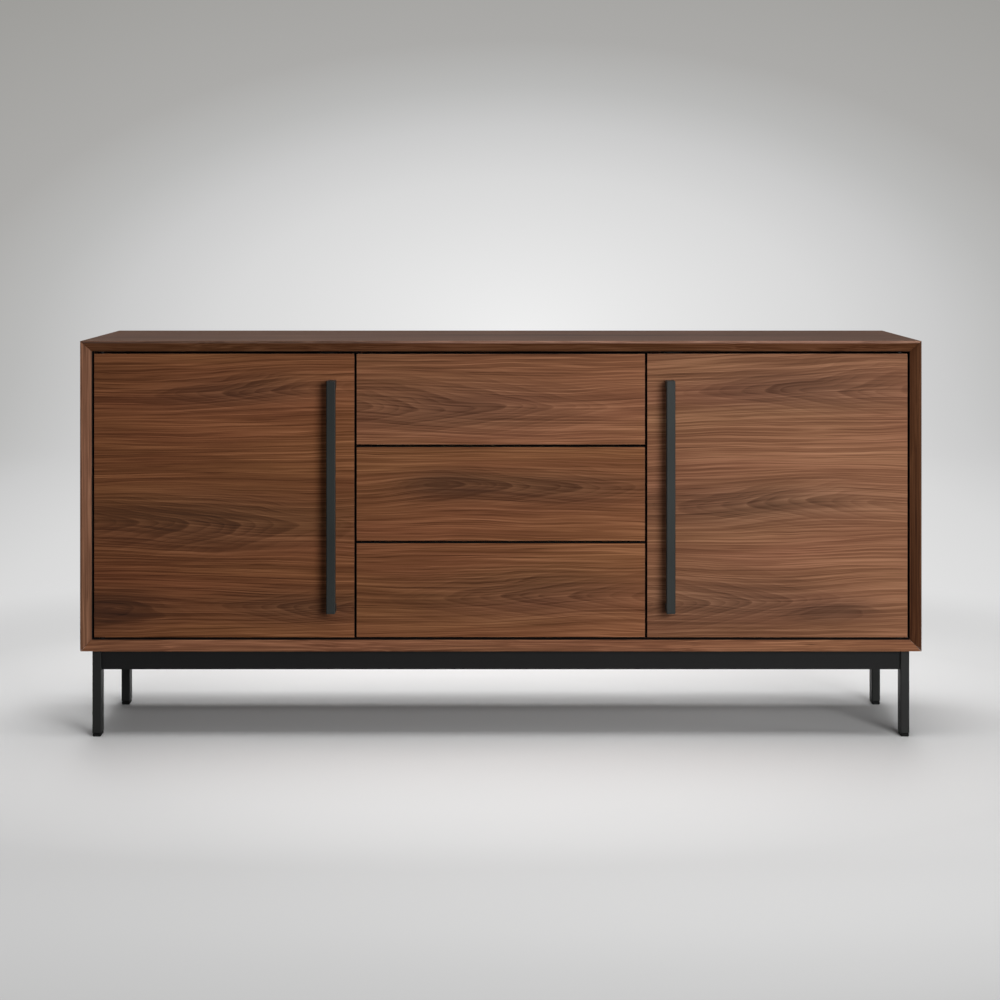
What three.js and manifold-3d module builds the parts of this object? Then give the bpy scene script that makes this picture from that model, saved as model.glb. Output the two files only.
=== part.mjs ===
// Office credenza: a walnut-veneered case with a mitred, bevelled front edge on a
// low black steel base. Two inset doors turn on pivot hinges at the outer ends, and
// three push-open drawers between them run on telescopic ball slides.
// Millimetres, +Z up, the front faces -Y, the origin is on the floor under the middle.

import * as THREE from 'three';
import { mergeVertices } from 'three/addons/utils/BufferGeometryUtils.js';
import Module from 'manifold-3d';

const wasm = await Module();
wasm.setup();

// Driving dimensions: case
const caseWidth = 1600;
const caseDepth = 450;
const caseHeight = 590;
const panelThickness = 21;
const noseWidth = 3.5; // flat front edge left outside the bevel
const bevelDepth = 12; // how far back the bevel runs, to the faces of the fronts
const backThickness = 6;
const backRabbet = 10; // how far the back panel reaches into the case panels
const dividerThickness = 18;
const dividerSetback = 3; // behind the fronts
const housingDepth = 6; // stopped housings that hold the dividers

// Driving dimensions: fronts and pivot hinges
const frontThickness = 19;
const revealGap = 3.5; // shadow gap round every door and drawer front
const drawerFrontWidth = 551;
const swingClearance = 0.6; // least gap between a turning door edge and the case side
const pivotPlateLength = 56;
const pivotPlateWidth = 13;
const pivotPlateThickness = 2.5;
const pivotPlateEdge = 5; // from the hinge edge to the end of the plate
const pivotPinRadius = 3;
const pivotPinReach = 8; // how far the pin enters the case panel
const pivotCollarRadius = 5.5;

// Driving dimensions: door handles
const handleProjection = 34; // from the door face to the front of the grip
const handleWidth = 17;
const handleGripThickness = 14;
const handleFootLength = 16;
const handleEndMargin = 50; // from the door's top and bottom edges
const handleInset = 43; // from the door's free edge to the handle's centre
const handleEdge = 1.2; // small chamfer round the handle
const handleInnerRadius = 5; // inside corners of the finger gap

// Driving dimensions: shelves and catches
const shelfThickness = 18;
const lowerSpaceHeight = 264; // clear height under the shelf
const shelfSetback = 48; // behind the doors
const shelfSideClearance = 1;
const shelfRearClearance = 4;
const shelfPinRadius = 2.5;
const shelfPinReach = 9; // out of the wall
const shelfPinRoot = 4; // into the wall
const shelfPinInset = 45; // from the shelf's front and back edges
const catchWidth = 46;
const catchBodyWidth = 30;
const catchDepth = 16;
const catchHeight = 13;
const catchPlateThickness = 2;
const catchInset = 20; // from the divider
const catchDoorGap = 0.6;

// Driving dimensions: drawers
const drawerCount = 3;
const topFrontDrop = 6; // how much lower the top drawer's front is than the ones under it
const drawerSideThickness = 12;
const drawerBottomThickness = 6;
const drawerGrooveDepth = 6;
const drawerGrooveRise = 10; // from the lower edge of the sides to the groove
const drawerBackRabbet = 4;
const drawerBoxRise = 18; // from the front's lower edge to the box
const drawerTopClearance = 30; // from the box to the front's upper edge
const drawerRearClearance = 12; // behind the box

// Driving dimensions: telescopic slides, three nested steel channels a side
const slideThickness = 12.7;
const slideHeight = 45;
const slideSheet = 1.2;
const slideFrontInset = 2; // behind the divider's front edge
const slideBallGap = 4.3; // room for the ball rows between two channels
const slideWebGap = 1; // between the webs of the cabinet and middle channels
const slideLipHeight = 3;
const slideLipGap = 0.8; // between the cabinet channel's lip and the drawer channel's web
const ballCageWidth = 3;
const ballCageLength = 90;

// Driving dimensions: base
const baseHeight = 165;
const legWidth = 17;
const legDepth = 32;
const legCornerRadius = 2;
const legSideInset = 21; // from the case side to the front leg's outer face
const frontLegInset = 12; // from the case front to the front leg
const rearLegInset = 111; // from the case back to the rear leg, clear of a skirting board
const rearLegStep = 7; // how much further in the rear legs stand than the front ones
const sideRailWidth = 8;
const railHeight = 37;
const railInset = 5; // behind the outer faces of the legs
const railSheet = 3;
const railFlange = 30;
const lugLength = 40;
const lugReach = 34;
const lugHoleRadius = 3;
const lugInset = 40; // from the legs
const glideHeight = 7;
const glideMargin = 0.5; // how far the pad stays inside the leg's outline
const glideEdge = 1.5;
const glideStemRadius = 4;
const glideStemLength = 20;

// Facets round a pin and round a small hole, stem or peg
const pinSides = 24;
const pegSides = 12;

// Clearances between pieces that touch
const seatGap = 0.3;
const mitreTrim = seatGap / Math.SQRT2;

// Places worked out from the driving dimensions
const handleProud = handleProjection - bevelDepth;
const caseFront = -(caseDepth - handleProud) / 2;
const caseBack = caseFront + caseDepth;
const caseBottom = baseHeight;
const caseTop = baseHeight + caseHeight;
const caseMiddle = (caseBottom + caseTop) / 2;
const innerBottom = caseBottom + panelThickness;
const innerTop = caseTop - panelThickness;
const innerHalfWidth = caseWidth / 2 - panelThickness;
const innerBack = caseBack - backThickness;
const frontFace = caseFront + bevelDepth;
const frontRear = frontFace + frontThickness;
const dividerFront = frontRear + dividerSetback;
const dividerCentre = (drawerFrontWidth + revealGap) / 2;
const dividerInner = dividerCentre - dividerThickness / 2;
const dividerOuter = dividerCentre + dividerThickness / 2;

const doorHeight = innerTop - innerBottom - 2 * revealGap;
const doorWidth = innerHalfWidth - revealGap - (drawerFrontWidth / 2 + revealGap);
// The pivot sits at half thickness, just far enough in from the hinge edge for the
// turning corners to stay clear of the case side.
const cornerReach = revealGap - swingClearance;
const pivotInset = ((frontThickness / 2) ** 2 - cornerReach ** 2) / (2 * cornerReach);
const pivotX = innerHalfWidth - revealGap - pivotInset;
const pivotY = frontFace + frontThickness / 2;

const frontsHeight = innerTop - innerBottom - (drawerCount + 1) * revealGap;
const lowerFrontHeight = (frontsHeight + topFrontDrop) / drawerCount;
const topFrontHeight = lowerFrontHeight - topFrontDrop;
const drawerBoxHalfWidth = dividerInner - slideThickness - 2 * seatGap;
const drawerBoxFront = frontRear + seatGap;
const drawerBoxBack = innerBack - drawerRearClearance;
const slideFront = dividerFront + slideFrontInset;
const slideLength = drawerBoxBack - slideFront;

const shelfUnderside = innerBottom + lowerSpaceHeight;
const shelfTop = shelfUnderside + shelfThickness;
const shelfFront = frontRear + shelfSetback;
const shelfBack = innerBack - shelfRearClearance;

const baseTop = caseBottom - seatGap;
const legOuter = caseWidth / 2 - legSideInset;
const frontLeg = {
  place: 'front',
  inner: legOuter - legWidth,
  face: caseFront + frontLegInset,
};
const rearLeg = {
  place: 'rear',
  inner: legOuter - rearLegStep - legWidth,
  face: caseBack - rearLegInset - legDepth,
};
const legs = [frontLeg, rearLeg];

// Solid shapes

function toSolid(geometry) {
  const bare = geometry.clone();
  bare.deleteAttribute('normal');
  bare.deleteAttribute('uv');
  const merged = mergeVertices(bare);
  return new wasm.Manifold(new wasm.Mesh({
    numProp: 3,
    vertProperties: new Float32Array(merged.getAttribute('position').array),
    triVerts: new Uint32Array(merged.getIndex().array),
  }));
}

function toGeometry(solid) {
  const mesh = solid.getMesh();
  const shared = new THREE.BufferGeometry();
  shared.setAttribute('position', new THREE.BufferAttribute(mesh.vertProperties, 3));
  shared.setIndex(new THREE.BufferAttribute(mesh.triVerts, 1));
  const geometry = shared.toNonIndexed();
  geometry.computeVertexNormals();
  return geometry;
}

function join(first, ...others) {
  return toGeometry(others.reduce((solid, other) => solid.add(toSolid(other)), toSolid(first)));
}

function cut(first, ...others) {
  return toGeometry(others.reduce((solid, other) => solid.subtract(toSolid(other)), toSolid(first)));
}

// A block between two limits on each axis, given in either order.
function block(xs, ys, zs) {
  const sizes = [xs, ys, zs].map(([a, b]) => Math.abs(b - a));
  const middles = [xs, ys, zs].map(([a, b]) => (a + b) / 2);
  return new THREE.BoxGeometry(...sizes).translate(...middles);
}

// An upright round bar between two heights.
function roundBar(radius, x, y, bottom, top, sides) {
  const bar = new THREE.CylinderGeometry(radius, radius, top - bottom, sides);
  return bar.rotateX(Math.PI / 2).translate(x, y, (bottom + top) / 2);
}

function outline(points) {
  return new THREE.Shape(points.map(([a, b]) => new THREE.Vector2(a, b)));
}

function roundedRectangle(width, height, radius) {
  const right = width / 2 - radius;
  const upper = height / 2 - radius;
  const shape = new THREE.Shape();
  shape.absarc(right, upper, radius, 0, Math.PI / 2);
  shape.absarc(-right, upper, radius, Math.PI / 2, Math.PI);
  shape.absarc(-right, -upper, radius, Math.PI, Math.PI * 1.5);
  shape.absarc(right, -upper, radius, Math.PI * 1.5, Math.PI * 2);
  return shape;
}

function extrude(shape, depth) {
  return new THREE.ExtrudeGeometry(shape, { depth, bevelEnabled: false, curveSegments: 4 });
}

// An outline drawn in Y and Z, run along X and centred on it.
function alongX(shape, length) {
  const turned = new THREE.Matrix4().makeBasis(
    new THREE.Vector3(0, 1, 0),
    new THREE.Vector3(0, 0, 1),
    new THREE.Vector3(1, 0, 0),
  );
  return extrude(shape, length).translate(0, 0, -length / 2).applyMatrix4(turned);
}

// An outline drawn in X and Z, run along Y between two limits.
function alongY(shape, front, back) {
  return extrude(shape, back - front).rotateX(Math.PI / 2).translate(0, back, 0);
}

// An outline drawn in X and Y, run along Z between two limits.
function alongZ(shape, bottom, top) {
  return extrude(shape, top - bottom).translate(0, 0, bottom);
}

// Materials

function finish(color, roughness, metalness) {
  return new THREE.MeshStandardMaterial({ color, roughness, metalness });
}

const walnut = () => finish(0x6d462f, 0.45, 0);
const birch = () => finish(0xcbb38c, 0.55, 0);
const blackSteel = () => finish(0x1c1c1c, 0.5, 0.3);
const handleBlack = () => finish(0x2b2c2c, 0.4, 0.4);
const zincSteel = () => finish(0xa9adb0, 0.35, 0.9);
const blackPlastic = () => finish(0x151515, 0.7, 0);

const credenza = new THREE.Group();

function addPiece(parent, name, geometry, material) {
  const piece = new THREE.Mesh(geometry, material);
  piece.name = name;
  parent.add(piece);
  return piece;
}

const ends = [['left', -1], ['right', 1]];

// Case: four mitred panels

// One outline serves all four: outer face, flat nose, bevel, inner face and the
// rabbet for the back. Each end is drawn in by its depth below the outer face, which
// cuts the 45 degree mitre. The outer face lies at z = 0 and the inner face above it.
function mitredPanel(length) {
  const rabbetFloor = innerBack - seatGap;
  const edge = outline([
    [caseFront, 0],
    [caseBack, 0],
    [caseBack, panelThickness - backRabbet],
    [rabbetFloor, panelThickness - backRabbet],
    [rabbetFloor, panelThickness],
    [frontFace, panelThickness],
    [caseFront, noseWidth],
  ]);
  const panel = alongX(edge, length);
  const places = panel.getAttribute('position');
  for (let i = 0; i < places.count; i += 1) {
    const end = length / 2 - places.getZ(i) - mitreTrim;
    places.setX(i, Math.sign(places.getX(i)) * end);
  }
  return panel;
}

// Housings for both dividers and holes for both door pivots, in the top or the bottom.
function panelCuts(innerFace, towardsOuter) {
  const housingFloor = innerFace + towardsOuter * housingDepth;
  const holeFloor = innerFace + towardsOuter * (pivotPinReach + seatGap);
  const inside = innerFace - towardsOuter;
  return ends.flatMap(([, side]) => [
    block(
      [side * (dividerInner - seatGap), side * (dividerOuter + seatGap)],
      [dividerFront - seatGap, caseBack],
      [inside, housingFloor],
    ),
    roundBar(
      pivotPinRadius + seatGap,
      side * pivotX,
      pivotY,
      Math.min(inside, holeFloor),
      Math.max(inside, holeFloor),
      pinSides,
    ),
  ]);
}

const caseGroup = new THREE.Group();
credenza.add(caseGroup);

const bottomBlank = mitredPanel(caseWidth).translate(0, 0, caseBottom);
addPiece(caseGroup, 'bottom_panel', cut(bottomBlank, ...panelCuts(innerBottom, -1)), walnut());

const topBlank = mitredPanel(caseWidth).rotateY(Math.PI).translate(0, 0, caseTop);
addPiece(caseGroup, 'top_panel', cut(topBlank, ...panelCuts(innerTop, 1)), walnut());

// Two short pins under the front and back of a shelf, standing out of a wall.
function shelfPins(wall, towardsShelf) {
  const height = shelfUnderside - seatGap - shelfPinRadius;
  return [shelfFront + shelfPinInset, shelfBack - shelfPinInset].map((y) => {
    const length = shelfPinReach + shelfPinRoot;
    const pin = new THREE.CylinderGeometry(shelfPinRadius, shelfPinRadius, length, pegSides);
    const centre = wall + towardsShelf * (length / 2 - shelfPinRoot);
    return pin.rotateZ(Math.PI / 2).translate(centre, y, height);
  });
}

for (const [name, side] of ends) {
  const panel = mitredPanel(caseHeight).rotateY(-side * Math.PI / 2);
  panel.translate(side * caseWidth / 2, 0, caseMiddle);
  const pins = shelfPins(side * innerHalfWidth, -side);
  addPiece(caseGroup, `${name}_side_panel`, join(panel, ...pins), walnut());
}

// Dividers stand in the housings of the top and bottom, behind the fronts.
for (const [name, side] of ends) {
  const reach = housingDepth - seatGap;
  const divider = block(
    [side * dividerInner, side * dividerOuter],
    [dividerFront, innerBack - 2 * seatGap],
    [innerBottom - reach, innerTop + reach],
  );
  const pins = shelfPins(side * dividerOuter, side);
  addPiece(caseGroup, `${name}_divider`, join(divider, ...pins), walnut());
}

const backReach = backRabbet - seatGap;
addPiece(caseGroup, 'back_panel', block(
  [-innerHalfWidth - backReach, innerHalfWidth + backReach],
  [innerBack, caseBack],
  [innerBottom - backReach, innerTop + backReach],
), walnut());

// Shelves rest loose on their pins, one in each cupboard.
for (const [name, side] of ends) {
  addPiece(caseGroup, `${name}_shelf`, block(
    [side * (dividerOuter + shelfSideClearance), side * (innerHalfWidth - shelfSideClearance)],
    [shelfFront, shelfBack],
    [shelfUnderside, shelfTop],
  ), walnut());
}

// Magnetic catches hang under the top behind the doors' free edges: a housing on a
// thin plate with an ear at each end.
for (const [name, side] of ends) {
  const centre = side * (dividerOuter + catchInset + catchWidth / 2);
  const ceiling = innerTop - seatGap;
  const hat = outline([
    [-catchWidth / 2, ceiling],
    [-catchWidth / 2, ceiling - catchPlateThickness],
    [-catchBodyWidth / 2, ceiling - catchPlateThickness],
    [-catchBodyWidth / 2, ceiling - catchHeight],
    [catchBodyWidth / 2, ceiling - catchHeight],
    [catchBodyWidth / 2, ceiling - catchPlateThickness],
    [catchWidth / 2, ceiling - catchPlateThickness],
    [catchWidth / 2, ceiling],
  ]);
  const front = frontRear + catchDoorGap;
  const body = alongY(hat, front, front + catchDepth).translate(centre, 0, 0);
  addPiece(caseGroup, `${name}_magnetic_catch`, body, blackPlastic());
}

// Doors, drawn about their pivot axis at mid height with the free edge towards +X.
// The right door is the same door turned over.

const doorHingeEdge = -pivotInset;
const doorFreeEdge = doorWidth - pivotInset;

function pivotPlateShape(margin) {
  const width = pivotPlateWidth + 2 * margin;
  const length = pivotPlateLength + 2 * margin;
  return roundedRectangle(length, width, width / 2);
}

const pivotPlateCentre = doorHingeEdge + pivotPlateEdge + pivotPlateLength / 2;

function makeDoorPanel() {
  const panel = block(
    [doorHingeEdge, doorFreeEdge],
    [-frontThickness / 2, frontThickness / 2],
    [-doorHeight / 2, doorHeight / 2],
  );
  const floor = doorHeight / 2 - pivotPlateThickness - seatGap;
  const mortise = alongZ(pivotPlateShape(seatGap), floor, doorHeight / 2 + revealGap);
  mortise.translate(pivotPlateCentre, 0, 0);
  return cut(panel, mortise, mortise.clone().rotateX(Math.PI));
}

// A pivot: a plate let in flush with the door's edge, a collar that takes up the
// reveal gap, and the pin that turns in the case panel.
function makePivot() {
  const edge = doorHeight / 2;
  const plate = alongZ(pivotPlateShape(0), edge - pivotPlateThickness, edge);
  plate.translate(pivotPlateCentre, 0, 0);
  const root = edge - pivotPlateThickness / 2;
  const collar = roundBar(pivotCollarRadius, 0, 0, root, edge + revealGap - seatGap, pinSides);
  const pin = roundBar(pivotPinRadius, 0, 0, root, edge + revealGap + pivotPinReach, pinSides);
  return join(plate, collar, pin);
}

// A bridge handle: a straight grip on two feet, chamfered all round.
function makeHandle() {
  const half = doorHeight / 2 - handleEndMargin;
  const gap = handleProjection - handleGripThickness;
  const gapHalf = half - handleFootLength;
  const arcX = gap - handleInnerRadius;
  const arcZ = gapHalf - handleInnerRadius;
  const bridge = new THREE.Shape();
  bridge.moveTo(seatGap, -half);
  bridge.lineTo(handleProjection, -half);
  bridge.lineTo(handleProjection, half);
  bridge.lineTo(seatGap, half);
  bridge.lineTo(seatGap, gapHalf);
  bridge.absarc(arcX, arcZ, handleInnerRadius, Math.PI / 2, 0, true);
  bridge.absarc(arcX, -arcZ, handleInnerRadius, 0, -Math.PI / 2, true);
  bridge.lineTo(seatGap, -gapHalf);
  const bar = new THREE.ExtrudeGeometry(bridge, {
    depth: handleWidth - 2 * handleEdge,
    bevelThickness: handleEdge,
    bevelSize: handleEdge,
    bevelOffset: -handleEdge,
    bevelSegments: 1,
    curveSegments: 4,
  });
  const turned = new THREE.Matrix4().makeBasis(
    new THREE.Vector3(0, -1, 0),
    new THREE.Vector3(0, 0, 1),
    new THREE.Vector3(-1, 0, 0),
  );
  bar.translate(0, 0, -(handleWidth - 2 * handleEdge) / 2).applyMatrix4(turned);
  return bar.translate(doorFreeEdge - handleInset, -frontThickness / 2, 0);
}

for (const [name, side] of ends) {
  const door = new THREE.Group();
  door.position.set(side * pivotX, pivotY, caseMiddle);
  door.rotation.y = side > 0 ? Math.PI : 0;
  credenza.add(door);
  addPiece(door, `${name}_door_panel`, makeDoorPanel(), walnut());
  addPiece(door, `${name}_door_handle`, makeHandle(), handleBlack());
  for (const [place, end] of [['upper', -side], ['lower', side]]) {
    const pivot = addPiece(door, `${name}_door_${place}_pivot`, makePivot(), handleBlack());
    pivot.rotation.x = end > 0 ? 0 : Math.PI;
  }
}

// Drawers, drawn with the lower edge of the front at z = 0

const boxBottom = drawerBoxRise;
const grooveFloor = boxBottom + drawerGrooveRise;
const grooveTop = grooveFloor + drawerBottomThickness + 2 * seatGap;
const boxInner = drawerBoxHalfWidth - drawerSideThickness;
const backFront = drawerBoxBack - drawerSideThickness;
const backHalfWidth = boxInner + drawerBackRabbet - seatGap;
const bottomHalfWidth = boxInner + drawerGrooveDepth - seatGap;

// The front carries the groove for the drawer bottom in its rear face.
function makeDrawerFront(height) {
  const front = block(
    [-drawerFrontWidth / 2, drawerFrontWidth / 2],
    [frontFace, frontRear],
    [0, height],
  );
  const groove = block(
    [-boxInner - drawerGrooveDepth, boxInner + drawerGrooveDepth],
    [frontRear - drawerGrooveDepth, frontRear + seatGap],
    [grooveFloor, grooveTop],
  );
  return cut(front, groove);
}

// A side has a groove along it for the bottom and a rabbet at the rear for the back.
function makeDrawerSide(side, boxTop) {
  const plank = block(
    [side * boxInner, side * drawerBoxHalfWidth],
    [drawerBoxFront, drawerBoxBack],
    [boxBottom, boxTop],
  );
  const groove = block(
    [side * (boxInner - seatGap), side * (boxInner + drawerGrooveDepth)],
    [drawerBoxFront - seatGap, drawerBoxBack + seatGap],
    [grooveFloor, grooveTop],
  );
  const rabbet = block(
    [side * (boxInner - seatGap), side * (boxInner + drawerBackRabbet)],
    [backFront - seatGap, drawerBoxBack + seatGap],
    [grooveFloor, boxTop + seatGap],
  );
  return cut(plank, groove, rabbet);
}

// The back stands on the bottom, which runs out under it.
function makeDrawerBack(boxTop) {
  return block([-backHalfWidth, backHalfWidth], [backFront, drawerBoxBack], [grooveTop, boxTop]);
}

function makeDrawerBottom() {
  return block(
    [-bottomHalfWidth, bottomHalfWidth],
    [frontRear - drawerGrooveDepth + seatGap, drawerBoxBack],
    [grooveFloor + seatGap, grooveTop - seatGap],
  );
}

// Telescopic slide: three channels nested in one another. Drawn from the divider's
// face (x = 0) towards the drawer, centred on z = 0.

const cabinetHalf = slideHeight / 2;
const cabinetDepth = slideThickness - slideSheet - slideLipGap;
const middleHalf = cabinetHalf - slideSheet - slideBallGap;
const middleWeb = slideSheet + slideWebGap;
const middleDepth = cabinetDepth - slideSheet - seatGap;
const drawerHalf = middleHalf - slideSheet - slideBallGap;
const drawerFlange = middleWeb + slideSheet + slideWebGap;
const cageCentre = (middleWeb + middleDepth) / 2 + slideSheet / 2;

// A channel with its web at one depth and its flanges reaching to another.
function channel(web, tip, half, lip) {
  const towards = Math.sign(tip - web);
  const inner = half - slideSheet;
  const lipEnd = tip - towards * slideSheet;
  const upper = [[web, half], [tip, half], [tip, inner - lip]];
  const throat = lip > 0 ? [[lipEnd, inner - lip], [lipEnd, inner]] : [];
  const run = [...upper, ...throat, [web + towards * slideSheet, inner]];
  const mirrored = run.map(([x, z]) => [x, -z]).reverse();
  return outline([...run, ...mirrored]);
}

// The rows of balls run in a cage above and below a channel, held close to both races.
function ballCages(race, nextRace, front, back) {
  return [-1, 1].map((updown) => block(
    [cageCentre - ballCageWidth / 2, cageCentre + ballCageWidth / 2],
    [front, back],
    [updown * race, updown * nextRace],
  ));
}

function makeCabinetChannel() {
  return alongY(channel(0, cabinetDepth, cabinetHalf, slideLipHeight), slideFront, slideFront + slideLength);
}

function makeMiddleChannel() {
  const back = slideFront + slideLength;
  const bar = alongY(channel(middleWeb, middleDepth, middleHalf, 0), slideFront, back);
  const outerRace = cabinetHalf - slideSheet - seatGap;
  const innerRace = drawerHalf + seatGap;
  const bite = slideSheet / 2;
  return join(
    bar,
    ...ballCages(middleHalf - bite, outerRace, back - ballCageLength, back),
    ...ballCages(middleHalf - bite, innerRace, slideFront, slideFront + ballCageLength),
  );
}

function makeDrawerChannel() {
  return alongY(channel(slideThickness, drawerFlange, drawerHalf, 0), slideFront, slideFront + slideLength);
}

const drawerNames = ['bottom', 'middle', 'top'];

drawerNames.slice(0, drawerCount).forEach((name, index) => {
  const frontHeight = index < drawerCount - 1 ? lowerFrontHeight : topFrontHeight;
  const boxTop = frontHeight - drawerTopClearance;
  const drawer = new THREE.Group();
  drawer.position.z = innerBottom + revealGap + index * (lowerFrontHeight + revealGap);
  credenza.add(drawer);
  addPiece(drawer, `${name}_drawer_front`, makeDrawerFront(frontHeight), walnut());
  addPiece(drawer, `${name}_drawer_left_side`, makeDrawerSide(-1, boxTop), birch());
  addPiece(drawer, `${name}_drawer_right_side`, makeDrawerSide(1, boxTop), birch());
  addPiece(drawer, `${name}_drawer_back`, makeDrawerBack(boxTop), birch());
  addPiece(drawer, `${name}_drawer_bottom`, makeDrawerBottom(), birch());
  for (const [end, side] of ends) {
    const slide = new THREE.Group();
    slide.position.set(side * (dividerInner - seatGap), 0, (boxBottom + boxTop) / 2);
    slide.rotation.y = side > 0 ? Math.PI : 0;
    drawer.add(slide);
    addPiece(slide, `${name}_${end}_slide_cabinet_channel`, makeCabinetChannel(), zincSteel());
    addPiece(slide, `${name}_${end}_slide_middle_channel`, makeMiddleChannel(), zincSteel());
    addPiece(slide, `${name}_${end}_slide_drawer_channel`, makeDrawerChannel(), zincSteel());
  }
});

// Base: two welded end frames and two folded rails

const base = new THREE.Group();
credenza.add(base);

function legCentre(leg, side) {
  return [side * (leg.inner + legWidth / 2), leg.face + legDepth / 2];
}

function makeLeg(leg, side) {
  const section = roundedRectangle(legWidth, legDepth, legCornerRadius);
  const post = alongZ(section, glideHeight + seatGap, baseTop);
  return post.translate(...legCentre(leg, side), 0);
}

// An end frame: a front and a rear leg with a flat rail welded between them, and two
// lugs that are screwed up into the case. The rail meets the inner side of the front
// leg and the outer side of the rear leg, a hair below their tops, so that only the
// legs and the lugs bear on the case.
function makeEndFrame(side) {
  const railCentre = side * (frontLeg.inner + rearLeg.inner + legWidth) / 2;
  const railShape = roundedRectangle(sideRailWidth, railHeight, legCornerRadius);
  const rail = alongY(railShape, legCentre(frontLeg, side)[1], legCentre(rearLeg, side)[1]);
  rail.translate(railCentre, 0, baseTop - seatGap - railHeight / 2);
  const lugCentres = [frontLeg.face + legDepth + lugInset, rearLeg.face - lugInset];
  const lugs = lugCentres.map((y) => block(
    [railCentre, side * (frontLeg.inner - lugReach)],
    [y - lugLength / 2, y + lugLength / 2],
    [baseTop - railSheet, baseTop],
  ));
  const lugHoles = lugCentres.map((y) => roundBar(
    lugHoleRadius,
    side * (frontLeg.inner - lugReach / 2),
    y,
    baseTop - 2 * railSheet,
    caseBottom,
    pegSides,
  ));
  const stemHoles = legs.map((leg) => roundBar(
    glideStemRadius + seatGap,
    ...legCentre(leg, side),
    0,
    glideHeight + glideStemLength + 2 * seatGap,
    pegSides,
  ));
  const frame = join(...legs.map((leg) => makeLeg(leg, side)), rail, ...lugs);
  return cut(frame, ...lugHoles, ...stemHoles);
}

// A folded rail: an upright web, a flange under the case and a tab against each leg.
function makeRail(leg, webFace, inwards) {
  const half = leg.inner - seatGap;
  const flangeEdge = webFace + inwards * railFlange;
  const envelope = block([-half, half], [webFace, flangeEdge], [baseTop - railHeight, baseTop]);
  const hollow = block(
    [railSheet - half, half - railSheet],
    [webFace + inwards * railSheet, flangeEdge + inwards],
    [baseTop - railHeight - railSheet, baseTop - railSheet],
  );
  return cut(envelope, hollow);
}

// A glide: a chamfered pad under the leg on a stem that plugs into it.
function makeGlide() {
  const pad = new THREE.ExtrudeGeometry(
    roundedRectangle(legWidth - 2 * glideMargin, legDepth - 2 * glideMargin, legCornerRadius),
    {
      depth: glideHeight - 2 * glideEdge,
      bevelThickness: glideEdge,
      bevelSize: glideEdge,
      bevelOffset: -glideEdge,
      bevelSegments: 1,
      curveSegments: 3,
    },
  ).translate(0, 0, glideEdge);
  const stem = roundBar(glideStemRadius, 0, 0, glideHeight / 2, glideHeight + glideStemLength, pegSides);
  return join(pad, stem);
}

for (const [name, side] of ends) {
  addPiece(base, `${name}_end_frame`, makeEndFrame(side), blackSteel());
}
const frontWeb = frontLeg.face + railInset;
const rearWeb = rearLeg.face + legDepth - railInset;
addPiece(base, 'front_rail', makeRail(frontLeg, frontWeb, 1), blackSteel());
addPiece(base, 'rear_rail', makeRail(rearLeg, rearWeb, -1), blackSteel());

for (const [end, side] of ends) {
  for (const leg of legs) {
    const glide = addPiece(base, `${leg.place}_${end}_glide`, makeGlide(), blackPlastic());
    glide.position.set(...legCentre(leg, side), 0);
  }
}

export default credenza;
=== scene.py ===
import math

import bpy
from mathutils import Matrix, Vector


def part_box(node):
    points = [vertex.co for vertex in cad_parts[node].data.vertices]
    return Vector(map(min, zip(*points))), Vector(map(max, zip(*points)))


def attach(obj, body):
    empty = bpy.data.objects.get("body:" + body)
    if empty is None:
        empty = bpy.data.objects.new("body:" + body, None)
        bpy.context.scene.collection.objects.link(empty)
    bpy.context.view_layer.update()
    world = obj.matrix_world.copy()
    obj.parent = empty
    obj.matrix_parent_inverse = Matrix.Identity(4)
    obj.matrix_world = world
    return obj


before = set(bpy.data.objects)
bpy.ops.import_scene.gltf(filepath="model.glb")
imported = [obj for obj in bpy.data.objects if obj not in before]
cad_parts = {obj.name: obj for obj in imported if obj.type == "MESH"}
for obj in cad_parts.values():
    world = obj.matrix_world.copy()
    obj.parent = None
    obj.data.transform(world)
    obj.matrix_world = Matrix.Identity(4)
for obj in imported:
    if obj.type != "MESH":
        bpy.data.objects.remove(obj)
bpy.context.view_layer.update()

# Case panels: top, bottom and sides of board faced with flat-cut walnut veneer, mitred at
# the corners, all in a satin lacquer. The front edges are lipped with solid walnut and bevelled
# inwards; the lipping's brightness per panel is partly its tone and partly painted light and
# shade, and the top's nose carries a pale painted highlight. The rim of the opening behind
# them is painted near black, a painted shade for the gaps round the fronts.
WALNUT_SHADES = [
    (0.10, (34, 13, 3)),
    (0.32, (76, 39, 14)),
    (0.50, (112, 66, 36)),
    (0.68, (147, 95, 61)),
    (0.92, (186, 131, 94)),
]
RING_SHADES = [
    (0.00, (188, 188, 188)),
    (0.55, (150, 150, 150)),
    (0.88, (60, 60, 60)),
    (1.00, (188, 188, 188)),
]
RING_SPACING = 0.020
FINE_RINGS = 3
# Painted gap shade: a near-black colour laid on the rim of the opening and on the edges of the fronts,
# where the gaps would be in shade.
GAP_SHADE_COLOUR = (0.010, 0.006, 0.004, 1)
GAP_SHADE_REACH = 0.0010
# Painted highlight along the top's nose, paler towards the right, where its front arris would catch the
# light.
NOSE_HIGHLIGHT_START = -0.28
NOSE_HIGHLIGHT_END = -0.06
NOSE_HIGHLIGHT_DEPTH = 0.0007
ARCH_TIP = 0.008
GRAIN_FRONT = (math.radians(-90), 0, 0)
GRAIN_FLAT = (0, 0, 0)
GRAIN_UPRIGHT = (0, math.radians(90), 0)
VENEER_EDGE = 0.0002


def linear(rgb):
    shares = [channel / 255 for channel in rgb]
    return [s / 12.92 if s <= 0.04045 else ((s + 0.055) / 1.055) ** 2.4 for s in shares]


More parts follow.
